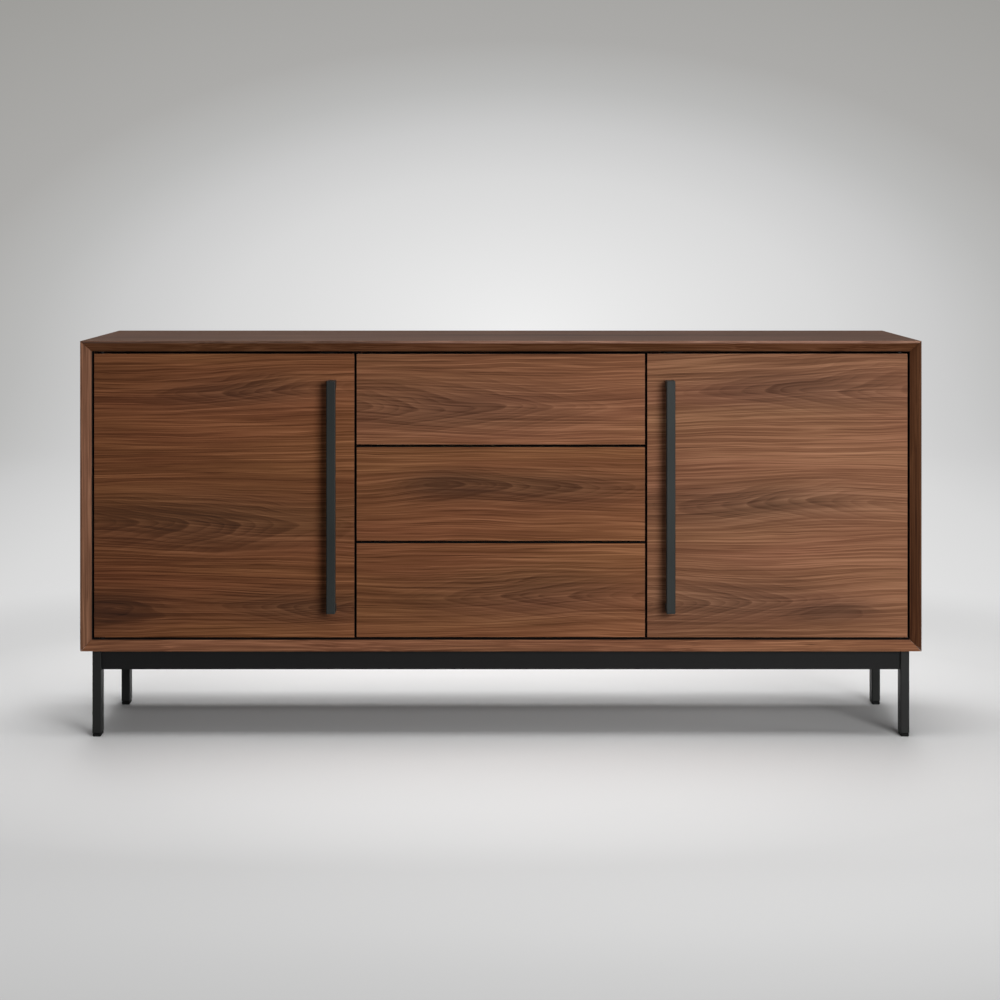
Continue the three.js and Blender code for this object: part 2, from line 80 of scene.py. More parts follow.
def new_finish(name):
    material = bpy.data.materials.new(name)
    material.use_nodes = True
    material.node_tree.nodes.clear()
    return material, material.node_tree


def feed(tree, socket, value):
    if isinstance(value, bpy.types.Node):
        value = value.outputs[0]
    if isinstance(value, bpy.types.NodeSocket):
        tree.links.new(value, socket)
    elif value is not None:
        socket.default_value = value


def add_node(tree, kind, *inputs, **settings):
    node = tree.nodes.new(kind)
    for key, value in settings.items():
        setattr(node, key, value)
    for socket, value in zip(node.inputs, inputs):
        feed(tree, socket, value)
    return node


def calc(tree, operation, *inputs):
    return add_node(tree, "ShaderNodeMath", *inputs, operation=operation)


def total(tree, first, *others):
    for other in others:
        first = calc(tree, "ADD", first, other)
    return first


def squared(tree, value):
    return calc(tree, "POWER", value, 2.0)


def swing(tree, field, amount):
    return calc(tree, "MULTIPLY", calc(tree, "SUBTRACT", field, 0.5), amount)


def stretched(tree, place, scale, shift=(0, 0, 0)):
    return add_node(tree, "ShaderNodeMapping", place, shift, (0, 0, 0), scale)


def noise(tree, place, scale=1.0, detail=2.0, roughness=0.5):
    return add_node(tree, "ShaderNodeTexNoise", place, None, scale, detail, roughness)


def tones(tree, value, stops, strength=1.0):
    ramp = add_node(tree, "ShaderNodeValToRGB", value)
    elements = ramp.color_ramp.elements
    while len(elements) < len(stops):
        elements.new(0.5)
    for element, (position, rgb) in zip(elements, stops):
        element.position = position
        element.color = [min(1.0, channel * strength) for channel in linear(rgb)] + [1.0]
    return ramp


def surface(tree, colour, roughness, relief, relief_strength, specular, metallic=0.0):
    shader = add_node(tree, "ShaderNodeBsdfPrincipled", colour)
    bump = add_node(tree, "ShaderNodeBump", relief_strength, 0.0004)
    feed(tree, bump.inputs["Height"], relief)
    feed(tree, shader.inputs["Metallic"], metallic)
    feed(tree, shader.inputs["Specular IOR Level"], specular)
    feed(tree, shader.inputs["Roughness"], roughness)
    feed(tree, shader.inputs["Normal"], bump)
    add_node(tree, "ShaderNodeOutputMaterial", shader)


def arches(along, across, half_length, half_height, lean, dark=0.0, skew=0.0, closed=False):
    return {
        "along": along, "across": across, "half_length": half_length, "half_height": half_height,
        "lean": lean, "dark": dark, "skew": skew, "closed": closed,
    }


def painted_gap_shade(tree, colour, inside):
    mix = add_node(tree, "ShaderNodeMix", data_type="RGBA")
    feed(tree, mix.inputs["Factor"], inside)
    feed(tree, mix.inputs["A"], colour)
    feed(tree, mix.inputs["B"], GAP_SHADE_COLOUR)
    return mix.outputs["Result"]


def between(tree, value, low, high):
    above = calc(tree, "GREATER_THAN", value, low)
    return calc(tree, "MULTIPLY", above, calc(tree, "LESS_THAN", value, high))


# Mask of the painted gap shade: the rim of the opening just behind the fronts.
def shaded_rim_of_opening(tree, coordinates):
    x, y, z = add_node(tree, "ShaderNodeSeparateXYZ", coordinates["Object"]).outputs
    door_low, door_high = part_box("right_door_panel")
    top_low, top_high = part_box("top_panel")
    board = top_high[2] - top_low[2]
    half_width = top_high[0] - board + GAP_SHADE_REACH
    lower_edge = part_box("bottom_panel")[1][2] - GAP_SHADE_REACH
    upper_edge = top_low[2] + GAP_SHADE_REACH
    across = between(tree, x, -half_width, half_width)
    up = between(tree, z, lower_edge, upper_edge)
    back = between(tree, y, door_low[1] - GAP_SHADE_REACH, door_high[1])
    return calc(tree, "MULTIPLY", calc(tree, "MULTIPLY", across, up), back)


def walnut_veneer(
    name, grain, leaf, figure=(), tone=1.0, lipping_tone_and_light=1.0, richness=1.0, gloss=0.2, nose_highlight=0.0,
    rise=0.0, gap_shade=None,
):
    material, tree = new_finish(name)
    coordinates = add_node(tree, "ShaderNodeTexCoord").outputs
    here = coordinates["Object"]
    turned = add_node(tree, "ShaderNodeMapping", here, (0, 0, 0), grain)
    along, across, depth = add_node(tree, "ShaderNodeSeparateXYZ", turned).outputs

    # The grain sways slowly along the leaf, drifts in shorter waves and ripples a little.
    wander = stretched(tree, turned, (1.2, 5.0, 5.0), (leaf, 1.7 * leaf, 0.6 * leaf))
    sway = noise(tree, wander, 1.0, 1.0)
    drift = noise(tree, wander, 2.1, 1.0)
    ripple = noise(tree, wander, 4.3)
    swayed = total(
        tree, across, swing(tree, sway, 0.045), swing(tree, drift, 0.022), swing(tree, ripple, 0.010)
    )
    wobble = swing(tree, ripple, 0.026)

    # Growth rings cut flat: rows of pointed arches or closed eyes that fade into straight grain.
    marks = [0.0]
    bends = [0.0]
    fades = [0.0]
    for row in figure:
        x = calc(tree, "SUBTRACT", along, row["along"])
        y = calc(tree, "SUBTRACT", swayed, row["across"])
        x_share = squared(tree, calc(tree, "DIVIDE", x, row["half_length"]))
        y_share = squared(tree, calc(tree, "DIVIDE", y, row["half_height"]))
        fade = calc(tree, "EXPONENT", calc(tree, "MULTIPLY", total(tree, x_share, y_share), -1.0))
        lean = calc(tree, "MULTIPLY", x, row["lean"])
        spread = total(tree, squared(tree, y), ARCH_TIP ** 2)
        if row["closed"]:
            spread = total(tree, spread, squared(tree, lean))
            rings = calc(tree, "SQRT", spread)
        else:
            rings = total(tree, calc(tree, "SQRT", spread), lean)
        rings = total(tree, rings, calc(tree, "MULTIPLY", y, row["skew"]), wobble)
        ring = calc(tree, "DIVIDE", rings, RING_SPACING)
        fine_ring = calc(tree, "MULTIPLY", ring, FINE_RINGS)
        line = tones(tree, calc(tree, "FRACT", ring), RING_SHADES)
        fine_line = tones(tree, calc(tree, "FRACT", fine_ring), RING_SHADES)
        mark = total(tree, swing(tree, line, 0.22), swing(tree, fine_line, 0.18), -row["dark"])
        marks.append(calc(tree, "MULTIPLY", mark, fade))
        fades.append(fade)
        bends.append(calc(tree, "MULTIPLY", calc(tree, "MULTIPLY", lean, fade), 0.5))

    # Clouds, bands, light lines, streaks, fibres and fine pores run with the grain and bend
    # round the figure, where the lines grow fainter and the wood greyer.
    calm = calc(tree, "MINIMUM", total(tree, *fades), 1.0)
    grain_place = add_node(
        tree, "ShaderNodeCombineXYZ", along, total(tree, swayed, *bends), total(tree, depth, leaf)
    )
    clouds = noise(tree, stretched(tree, grain_place, (1.6, 8, 8)))
    bands = noise(tree, stretched(tree, grain_place, (1.8, 26, 26)))
    ridges = add_node(
        tree, "ShaderNodeTexNoise", stretched(tree, grain_place, (2.4, 200, 200)),
        None, 1.0, 1.0, 0.6, 2.1, 1.0, 1.6, noise_type="RIDGED_MULTIFRACTAL",
    )
    light_lines = add_node(tree, "ShaderNodeMapRange", ridges, 0.75, 1.5, 0.0, 0.14)
    streaks = noise(tree, stretched(tree, grain_place, (3.6, 360, 360)), roughness=0.6)
    fibres = noise(tree, stretched(tree, grain_place, (6, 720, 720)), roughness=0.6)
    specks = noise(tree, stretched(tree, grain_place, (10, 620, 620)), detail=0.0)
    pores = add_node(tree, "ShaderNodeMapRange", specks, 0.64, 0.74, 0.0, -0.08)
    lines = total(tree, light_lines, pores, swing(tree, streaks, 0.20), swing(tree, fibres, 0.36))
    shown = calc(tree, "SUBTRACT", 1.0, calc(tree, "MULTIPLY", calm, 0.35))
    # The shade climbs along x by rise: a painted light gradient, lighter towards the right.
    shade = total(
        tree, 0.458, calc(tree, "MULTIPLY", lines, shown), calc(tree, "MULTIPLY", along, rise),
        swing(tree, clouds, 0.15), swing(tree, bands, 0.12), *marks,
    )
    warmth = noise(tree, stretched(tree, grain_place, (2.2, 15, 15), (0, 0, leaf)))
    redness = add_node(tree, "ShaderNodeMapRange", warmth, 0.3, 0.7, 0.505, 0.498)
    hue = calc(tree, "ADD", redness, calc(tree, "MULTIPLY", calm, 0.002))
    saturation = calc(tree, "SUBTRACT", richness, calc(tree, "MULTIPLY", calm, 0.06))
    leaf_colour = tones(tree, shade, WALNUT_SHADES, tone)
    # The bevelled lipping gets its own brightness per panel, partly its tone and partly painted light and
    # shade. It ends where the painted gap shade begins.
    forward = add_node(tree, "ShaderNodeSeparateXYZ", here).outputs["Y"]
    in_lipping = calc(tree, "LESS_THAN", forward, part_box("left_door_panel")[0][1] - GAP_SHADE_REACH)
    brightness = calc(tree, "MULTIPLY_ADD", in_lipping, lipping_tone_and_light - 1.0, 1.0)
    # Painted nose highlight: the top's nose is made paler and greyer from left of the middle to the right
    # end.
    if nose_highlight:
        nose_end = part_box("top_panel")[0][1] + NOSE_HIGHLIGHT_DEPTH
        painted_nose_highlight = add_node(tree, "ShaderNodeMapRange", along, NOSE_HIGHLIGHT_START, NOSE_HIGHLIGHT_END, 0.0, nose_highlight)
        in_nose = calc(tree, "LESS_THAN", forward, nose_end)
        brightness = calc(tree, "MULTIPLY_ADD", in_nose, painted_nose_highlight, brightness)
        saturation = calc(tree, "SUBTRACT", saturation, calc(tree, "MULTIPLY", in_nose, 0.22))
    colour = add_node(tree, "ShaderNodeHueSaturation", hue, saturation, brightness, 1.0, leaf_colour)
    roughness = add_node(tree, "ShaderNodeMapRange", shade, 0.2, 0.8, 0.80, 0.68)
    # Where the painted gap shade mask is set, the colour is painted near black as shade and the finish is
    # made fully matt.
    if gap_shade:
        inside = gap_shade(tree, coordinates)
        colour = painted_gap_shade(tree, colour, inside)
        roughness = calc(tree, "MAXIMUM", roughness, inside)
    surface(tree, colour, roughness, fibres, 0.12, gloss)
    return material


def dress(node_name, material, edge):
    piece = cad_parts[node_name]
    piece.data.materials.clear()
    piece.data.materials.append(material)
    weld = piece.modifiers.new("weld", "WELD")
    weld.merge_threshold = 0.00002
    bevel = piece.modifiers.new("soft edges", "BEVEL")
    bevel.width = edge
    bevel.segments = 2
    bevel.limit_method = "ANGLE"
    bevel.angle_limit = math.radians(30)


TOP_FIGURE = [arches(0.10, 0.02, 0.50, 0.06, 0.12)]
SIDE_FIGURE = [arches(0.42, 0.02, 0.30, 0.07, 0.15)]
# Columns: panel, grain, leaf, figure, tone, lipping tone and light, richness, gloss, nose highlight.
# The lipping factors paint the left and bottom bevels lighter and the right bevel darker, as light from
# above and the right would leave them.
CASE_LEAVES = (
    # The top's low tone is painted shade, which keeps its face darker than the other leaves.
    ("top_panel", GRAIN_FLAT, 2.0, TOP_FIGURE, 0.31, 2.40, 0.95, 0.08, 2.8),
    ("bottom_panel", GRAIN_FLAT, 5.3, (), 0.90, 1.40, 0.92, 0.20, 0.0),
    ("left_side_panel", GRAIN_UPRIGHT, 8.1, SIDE_FIGURE, 0.90, 1.42, 0.86, 0.20, 0.0),
    ("right_side_panel", GRAIN_UPRIGHT, 11.7, SIDE_FIGURE, 0.90, 0.55, 1.0, 0.20, 0.0),
)
for panel, *look in CASE_LEAVES:
    case_walnut = walnut_veneer(f"walnut_{panel}", *look, gap_shade=shaded_rim_of_opening)
    dress(panel, case_walnut, VENEER_EDGE)

# Mitre joints: the four corners of the case are glued, and the hardened glue fills each joint
# from just behind the bevel to the back panel.
GLUE_SHADES = [(0.3, (30, 17, 8)), (0.7, (46, 27, 14))]
GLUE_HALF_THICKNESS = 0.00008
GLUE_MARGIN = 0.0010
GLUE_CORNER = 0.0005
SLOPE_DOWN = (0, math.radians(45), 0)
SLOPE_UP = (0, math.radians(-45), 0)


def start_piece(name):
    piece = bpy.context.object
    piece.name = name
    piece.data.name = name
    return piece


def end_piece(piece, material, smooth_angle=40):
    bpy.ops.mesh.select_all(action="SELECT")
    bpy.ops.mesh.normals_make_consistent(inside=False)
    bpy.ops.object.mode_set(mode="OBJECT")
    bpy.ops.object.shade_smooth_by_angle(angle=math.radians(smooth_angle))
    piece.data.materials.append(material)


def set_out(master, name, places, turn, body):
    for number, place in enumerate(places, 1):
        copy = master.copy()
        copy.data = master.data.copy()
        copy.name = f"{name}_{number}"
        bpy.context.collection.objects.link(copy)
        copy.rotation_euler = turn
        copy.location = place
        bpy.ops.object.select_all(action="DESELECT")
        copy.select_set(True)
        bpy.context.view_layer.objects.active = copy
        bpy.ops.object.transform_apply()
        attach(copy, body)


def thin_plate(name, length, height, rise, corner, material):
    bpy.ops.object.select_all(action="DESELECT")
    bpy.ops.mesh.primitive_cube_add(size=1, location=(0, 0, 0))
    plate = start_piece(name)
    bpy.ops.transform.resize(value=(length, height, 2 * rise))
    bpy.ops.object.transform_apply()
    bpy.ops.object.mode_set(mode="EDIT")
    bpy.ops.mesh.select_mode(type="EDGE")
    bpy.ops.mesh.select_all(action="DESELECT")
    bpy.ops.object.mode_set(mode="OBJECT")
    for edge in plate.data.edges:
        ends = [plate.data.vertices[index].co for index in edge.vertices]
        edge.select = abs(ends[0].z - ends[1].z) > rise
    bpy.ops.object.mode_set(mode="EDIT")
    bpy.ops.mesh.bevel(offset=corner, segments=4, affect="EDGES")
    end_piece(plate, material)
    return plate


glue, tree = new_finish("wood_glue")
beads = noise(tree, add_node(tree, "ShaderNodeTexCoord").outputs["Object"], 300.0)
glue_roughness = add_node(tree, "ShaderNodeMapRange", beads, 0.3, 0.7, 0.5, 0.7)
surface(tree, tones(tree, beads, GLUE_SHADES), glue_roughness, beads, 0.1, specular=0.2)
top_low, top_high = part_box("top_panel")
board = top_high[2] - top_low[2]
joint_width = board * math.sqrt(2) - 2 * GLUE_MARGIN
joint_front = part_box("left_door_panel")[0][1] + GLUE_MARGIN
joint_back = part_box("back_panel")[0][1] - GLUE_MARGIN
joint_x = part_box("right_side_panel")[1][0] - board / 2
joint_y = (joint_front + joint_back) / 2
upper_z = top_high[2] - board / 2
lower_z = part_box("bottom_panel")[0][2] + board / 2
glue_line = thin_plate(
    "glue_line", joint_width, joint_back - joint_front, GLUE_HALF_THICKNESS, GLUE_CORNER, glue
)
for corner, x, z, turn in (
    ("upper_left", -joint_x, upper_z, SLOPE_DOWN),
    ("upper_right", joint_x, upper_z, SLOPE_UP),
    ("lower_left", -joint_x, lower_z, SLOPE_UP),
    ("lower_right", joint_x, lower_z, SLOPE_DOWN),
):
    set_out(glue_line, f"{corner}_glue_line", [(x, joint_y, z)], turn, "carcass")
bpy.data.objects.remove(glue_line)

# Inside of the case: two dividers housed in the top and bottom, a loose shelf in each
# cupboard and a thin back in a rabbet, all of the same veneered board in plainer leaves.
BACK_FIGURE = [arches(-0.2, 0.46, 0.70, 0.08, 0.12)]


# The dividers' front faces are painted near black: painted shade in the gaps between the fronts.
def shaded_front_of_divider(tree, coordinates):
    facing = add_node(tree, "ShaderNodeSeparateXYZ", coordinates["Normal"]).outputs["Y"]
    return between(tree, facing, -1.1, -0.6)


divider_walnut = walnut_veneer("walnut_dividers", GRAIN_UPRIGHT, 14.2, gap_shade=shaded_front_of_divider)
shelf_walnut = walnut_veneer("walnut_shelves", GRAIN_FLAT, 17.9)
for side in ("left", "right"):
    dress(f"{side}_divider", divider_walnut, VENEER_EDGE)
    dress(f"{side}_shelf", shelf_walnut, VENEER_EDGE)
dress("back_panel", walnut_veneer("walnut_back", GRAIN_FRONT, 20.3, BACK_FIGURE), VENEER_EDGE)

# Shelf-pin sleeves: pressed steel bushes in two rows of bored holes on each cupboard wall,
# above and below the pins in use, so that the shelf can be moved.
SLEEVE_RADIUS = 0.0036
SLEEVE_RIM = 0.0010
SLEEVE_RISE = 0.0004
SLEEVE_PITCH = 0.032
SLEEVE_STEPS = (-3, -2, -1, 1, 2, 3)
PIN_DROP = 0.0028
PIN_INSET = 0.045
SHELF_CLEARANCE = 0.001
TO_LEFT = (0, math.radians(-90), 0)
TO_RIGHT = (0, math.radians(90), 0)
TO_FRONT = (math.radians(90), 0, 0)
TO_BACK = (math.radians(-90), 0, 0)
TO_FLOOR = (math.radians(180), 0, 0)
UPWARDS = (0, 0, 0)


def pick_faces(piece, wanted):
    bpy.ops.object.mode_set(mode="EDIT")
    bpy.ops.mesh.select_mode(type="FACE")
    bpy.ops.mesh.select_all(action="DESELECT")
    bpy.ops.object.mode_set(mode="OBJECT")
    for face in piece.data.polygons:
        face.select = wanted(face)
    bpy.ops.object.mode_set(mode="EDIT")


def zinc_plate(name):
    material, tree = new_finish(name)
    here = add_node(tree, "ShaderNodeTexCoord").outputs["Object"]
    rolled = noise(tree, stretched(tree, here, (900, 14, 900)), roughness=0.6)
    cloud = noise(tree, here, 40.0)
    shade = total(tree, swing(tree, rolled, 0.8), swing(tree, cloud, 0.6), 0.5)
    colour = tones(tree, shade, [(0.2, (172, 175, 178)), (0.8, (208, 210, 211))])
    roughness = add_node(tree, "ShaderNodeMapRange", shade, 0.2, 0.8, 0.42, 0.28)
    surface(tree, colour, roughness, rolled, 0.05, specular=0.5, metallic=1.0)
    return material


zinc = zinc_plate("zinc_plate")
bpy.ops.object.select_all(action="DESELECT")
bpy.ops.mesh.primitive_cylinder_add(
    vertices=18, radius=SLEEVE_RADIUS, depth=SLEEVE_RISE * 2, location=(0, 0, 0)
)
sleeve = start_piece("shelf_pin_sleeve")
pick_faces(sleeve, lambda face: face.normal.z > 0.9)
bpy.ops.mesh.inset(thickness=SLEEVE_RIM)
bpy.ops.mesh.extrude_region_move(TRANSFORM_OT_translate={"value": (0, 0, -SLEEVE_RISE * 0.9)})
end_piece(sleeve, zinc)

for side, sign, to_wall, to_divider in (("left", -1, TO_RIGHT, TO_LEFT), ("right", 1, TO_LEFT, TO_RIGHT)):
    shelf_low, shelf_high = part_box(f"{side}_shelf")
    rows = (shelf_low[1] + PIN_INSET, shelf_high[1] - PIN_INSET)
    heights = [shelf_low[2] - PIN_DROP + step * SLEEVE_PITCH for step in SLEEVE_STEPS]
    wall_face = sign * (max(abs(shelf_low[0]), abs(shelf_high[0])) + SHELF_CLEARANCE)
    divider_face = sign * (min(abs(shelf_low[0]), abs(shelf_high[0])) - SHELF_CLEARANCE)
    wall_places = [(wall_face, y, z) for y in rows for z in heights]
    divider_places = [(divider_face, y, z) for y in rows for z in heights]
    set_out(sleeve, f"{side}_wall_sleeve", wall_places, to_wall, "carcass")
    set_out(sleeve, f"{side}_divider_sleeve", divider_places, to_divider, "carcass")
bpy.data.objects.remove(sleeve)

# Back-panel screws: small cross-headed countersunk screws round the edge of the back and
# up the two dividers, driven into the rabbet and the dividers' rear edges.
BACK_SCREW_INSET = 0.005


def cross_screw(name, radius, rise, sink, dome, material):
    slot_width = radius * 0.30
    slot_reach = radius * 0.52
    bpy.ops.object.select_all(action="DESELECT")
    bpy.ops.mesh.primitive_cylinder_add(
        vertices=20, radius=radius, depth=rise + sink, location=(0, 0, (rise - sink) / 2)
    )
    head = start_piece(name)
    pick_faces(head, lambda face: face.normal.z > 0.9)
    bpy.ops.mesh.bevel(offset=dome, segments=3, affect="EDGES")
    end_piece(head, material)

    bpy.ops.object.select_all(action="DESELECT")
    bpy.ops.mesh.primitive_cube_add(size=slot_width, location=(0, 0, 0))
    bit = start_piece("driver_bit")
    bpy.ops.transform.resize(value=(1, 1, 2 * rise * 0.8 / slot_width))
    bpy.ops.transform.translate(value=(0, 0, rise))
    bpy.ops.object.transform_apply()
    pick_faces(bit, lambda face: abs(face.normal.z) < 0.1)
    bpy.ops.mesh.extrude_faces_move(TRANSFORM_OT_shrink_fatten={"value": slot_reach})
    bpy.ops.mesh.select_all(action="SELECT")
    bpy.ops.mesh.normals_make_consistent(inside=False)
    bpy.ops.object.mode_set(mode="OBJECT")

    bpy.context.view_layer.objects.active = head
    recess = head.modifiers.new("recess", "BOOLEAN")
    recess.object = bit
    recess.operation = "DIFFERENCE"
    recess.solver = "EXACT"
    bpy.ops.object.modifier_apply(modifier=recess.name)
    bpy.data.objects.remove(bit)
    return head


back_low, back_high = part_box("back_panel")
divider_low, divider_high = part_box("right_divider")
edge_x = back_high[0] - BACK_SCREW_INSET
edge_low = back_low[2] + BACK_SCREW_INSET
edge_high = back_high[2] - BACK_SCREW_INSET
middle_z = (edge_low + edge_high) / 2
divider_x = (divider_low[0] + divider_high[0]) / 2
back_screw = cross_screw("back_screw", 0.0031, 0.0006, 0.002, 0.0003, zinc)
back_places = [(edge_x * step / 4, back_high[1], z) for step in range(-4, 5) for z in (edge_low, edge_high)]
back_places += [(x, back_high[1], middle_z) for x in (-edge_x, -divider_x, divider_x, edge_x)]
set_out(back_screw, "back_screw", back_places, TO_BACK, "carcass")
bpy.data.objects.remove(back_screw)

# Doors: flat veneered board with the grain along, each leaf with its own figure: rows of
# arches and a few closed eyes where the cut ran near the heart of the log. The edges are
# eased and painted near black as shade, so that the gaps between the fronts read as clean lines.
FRONT_EDGE = 0.0005
DOOR_GAP_SHADE_REACH = 0.0003
# Every front is painted lighter towards the right by this much per metre: a painted light gradient.
PAINTED_LIGHT_SLOPE = 0.11
EYE_SLENDERNESS = 0.16


def eye(along, across, half_length, half_height, dark):
    return arches(along, across, half_length, half_height, EYE_SLENDERNESS, dark, 0.3, closed=True)


# Mask of the painted gap shade on a front: its edges and a border of the given reach round its faces.
def shaded_edges_of(front, reach):
    low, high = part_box(front)

    def edges(tree, coordinates):
        x, _, z = add_node(tree, "ShaderNodeSeparateXYZ", coordinates["Object"]).outputs
        across = between(tree, x, low[0] + reach, high[0] - reach)
        up = between(tree, z, low[2] + reach, high[2] - reach)
        return calc(tree, "SUBTRACT", 1.0, calc(tree, "MULTIPLY", across, up))

    return edges


LEFT_DOOR_FIGURE = [
    arches(-0.56, 0.405, 0.28, 0.050, 0.18, dark=0.02, skew=0.45),
    arches(-0.48, 0.660, 0.17, 0.030, -0.18, dark=0.02),
    eye(-0.750, 0.232, 0.12, 0.032, dark=0.06),
    arches(-0.367, 0.240, 0.16, 0.036, -0.20, dark=0.05),
]
RIGHT_DOOR_FIGURE = [
    arches(0.58, 0.659, 0.22, 0.045, -0.18, dark=0.02),
    arches(0.52, 0.440, 0.22, 0.036, -0.16, dark=0.05),
    arches(0.43, 0.260, 0.18, 0.045, 0.24, dark=0.02),
    eye(0.64, 0.236, 0.08, 0.022, dark=0.06),
]


def dress_front(front, leaf, figure, tone, richness, gap_shade_reach):
    leaf_walnut = walnut_veneer(
        f"walnut_{front}", GRAIN_FRONT, leaf, figure, tone, 1.0, richness,
        rise=PAINTED_LIGHT_SLOPE, gap_shade=shaded_edges_of(front, gap_shade_reach),
    )
    dress(front, leaf_walnut, FRONT_EDGE)


dress_front("left_door_panel", 23.6, LEFT_DOOR_FIGURE, 1.46, 0.97, DOOR_GAP_SHADE_REACH)
dress_front("right_door_panel", 26.4, RIGHT_DOOR_FIGURE, 1.27, 0.91, DOOR_GAP_SHADE_REACH)

# Door handles: a square bar with two feet in a satin black coat, held by a screw through
# the door into each foot. The screw heads show on the inside of the door.
HANDLE_BLACK = (41, 44, 43)
HANDLE_EDGE = 0.0004
HANDLE_FOOT = 0.016


def black_coat(name, rgb, gloss, grit_scale):
    material, tree = new_finish(name)
    here = add_node(tree, "ShaderNodeTexCoord").outputs["Object"]
    grit = noise(tree, here, grit_scale, roughness=0.6)
    cloud = noise(tree, here, 7.0)
    dark = [channel * 0.9 for channel in rgb]
    light = [channel * 1.12 for channel in rgb]
    colour = tones(tree, cloud, [(0.3, dark), (0.7, light)])
    roughness = add_node(tree, "ShaderNodeMapRange", grit, 0.3, 0.7, gloss - 0.06, gloss + 0.06)
    surface(tree, colour, roughness, grit, 0.1, specular=0.22)
    return material


handle_coat = black_coat("satin_black_coat", HANDLE_BLACK, 0.45, 1500.0)
handle_screw = cross_screw("handle_screw", 0.0045, 0.0022, 0.001, 0.0012, zinc)
for side in ("left", "right"):
    dress(f"{side}_door_handle", handle_coat, HANDLE_EDGE)
    handle_low, handle_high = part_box(f"{side}_door_handle")
    door_low, door_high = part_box(f"{side}_door_panel")
    handle_x = (handle_low[0] + handle_high[0]) / 2
    feet = (handle_low[2] + HANDLE_FOOT / 2, handle_high[2] - HANDLE_FOOT / 2)
    places = [(handle_x, door_high[1], z) for z in feet]
    set_out(handle_screw, f"{side}_handle_screw", places, TO_BACK, f"{side}_door")
bpy.data.objects.remove(handle_screw)

# Pivot hinges: black-coated steel plates let into the door's top and bottom edges, each with
# a collar and a pin that turns in the case, and two countersunk screws.
PIVOT_EDGE = 0.0002
PIVOT_SCREWS = (0.008, 0.026)
PIVOT_BLACK = (12, 12, 12)
pivot_coat = black_coat("black_oxide", PIVOT_BLACK, 0.6, 1200.0)
pivot_screw = cross_screw("pivot_screw", 0.0034, 0.0003, 0.001, 0.0002, pivot_coat)
for side, sign in (("left", -1), ("right", 1)):
    door_low, door_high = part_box(f"{side}_door_panel")
    for place, height, turn in (("upper", door_high[2], UPWARDS), ("lower", door_low[2], TO_FLOOR)):
        plate = f"{side}_door_{place}_pivot"
        dress(plate, pivot_coat, PIVOT_EDGE)
        plate_low, plate_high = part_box(plate)
        inner_end = min(abs(plate_low[0]), abs(plate_high[0]))
        plate_y = (plate_low[1] + plate_high[1]) / 2
        places = [(sign * (inner_end + distance), plate_y, height) for distance in PIVOT_SCREWS]
        set_out(pivot_screw, f"{side}_{place}_pivot_screw", places, turn, f"{side}_door")
bpy.data.objects.remove(pivot_screw)

# Magnetic catches: moulded black housings with two steel pole strips, screwed up under the
# top by their ears. Each pulls on a thin steel strike plate screwed to the inside of the door.
PLASTIC_BLACK = (14, 14, 14)
PLASTIC_EDGE = 0.0004
POLE_LENGTH = 0.024
POLE_HEIGHT = 0.0016
POLE_RISE = 0.0001
POLE_SPACING = 0.0042
STRIKE_LENGTH = 0.034
STRIKE_HEIGHT = 0.0080
STRIKE_RISE = 0.0002
EAR_INSET = 0.004
EAR_THICKNESS = 0.002


def moulded_black(name):
    material, tree = new_finish(name)
    here = add_node(tree, "ShaderNodeTexCoord").outputs["Object"]
    grain = noise(tree, here, 1100.0)
    cloud = noise(tree, here, 25.0)
    dark = [channel * 0.85 for channel in PLASTIC_BLACK]
    light = [channel * 1.2 for channel in PLASTIC_BLACK]
    colour = tones(tree, cloud, [(0.3, dark), (0.7, light)])
    roughness = add_node(tree, "ShaderNodeMapRange", grain, 0.3, 0.7, 0.55, 0.68)
    surface(tree, colour, roughness, grain, 0.08, specular=0.15)
    return material


plastic = moulded_black("moulded_black_nylon")
catch_screw = cross_screw("catch_screw", 0.0028, 0.0014, 0.001, 0.0008, pivot_coat)
pole = thin_plate("pole_strip", POLE_LENGTH, POLE_HEIGHT, POLE_RISE, 0.0003, zinc)
strike = thin_plate("strike_plate", STRIKE_LENGTH, STRIKE_HEIGHT, STRIKE_RISE, 0.002, zinc)
for side in ("left", "right"):
    catch = f"{side}_magnetic_catch"
    dress(catch, plastic, PLASTIC_EDGE)
    catch_low, catch_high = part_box(catch)
    door_low, door_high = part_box(f"{side}_door_panel")
    catch_x = (catch_low[0] + catch_high[0]) / 2
    catch_y = (catch_low[1] + catch_high[1]) / 2
    body_z = (catch_low[2] + catch_high[2] - EAR_THICKNESS) / 2
    ear_z = catch_high[2] - EAR_THICKNESS
    ears = [(x, catch_y, ear_z) for x in (catch_low[0] + EAR_INSET, catch_high[0] - EAR_INSET)]
    set_out(catch_screw, f"{side}_catch_screw", ears, TO_FLOOR, "carcass")
    poles = [(catch_x, catch_low[1], body_z + step * POLE_SPACING / 2) for step in (-1, 1)]
    set_out(pole, f"{side}_catch_pole", poles, TO_FRONT, "carcass")
    strikes = [(catch_x, door_high[1], body_z)]
    set_out(strike, f"{side}_strike_plate", strikes, TO_BACK, f"{side}_door")
for master in (catch_screw, pole, strike):
    bpy.data.objects.remove(master)

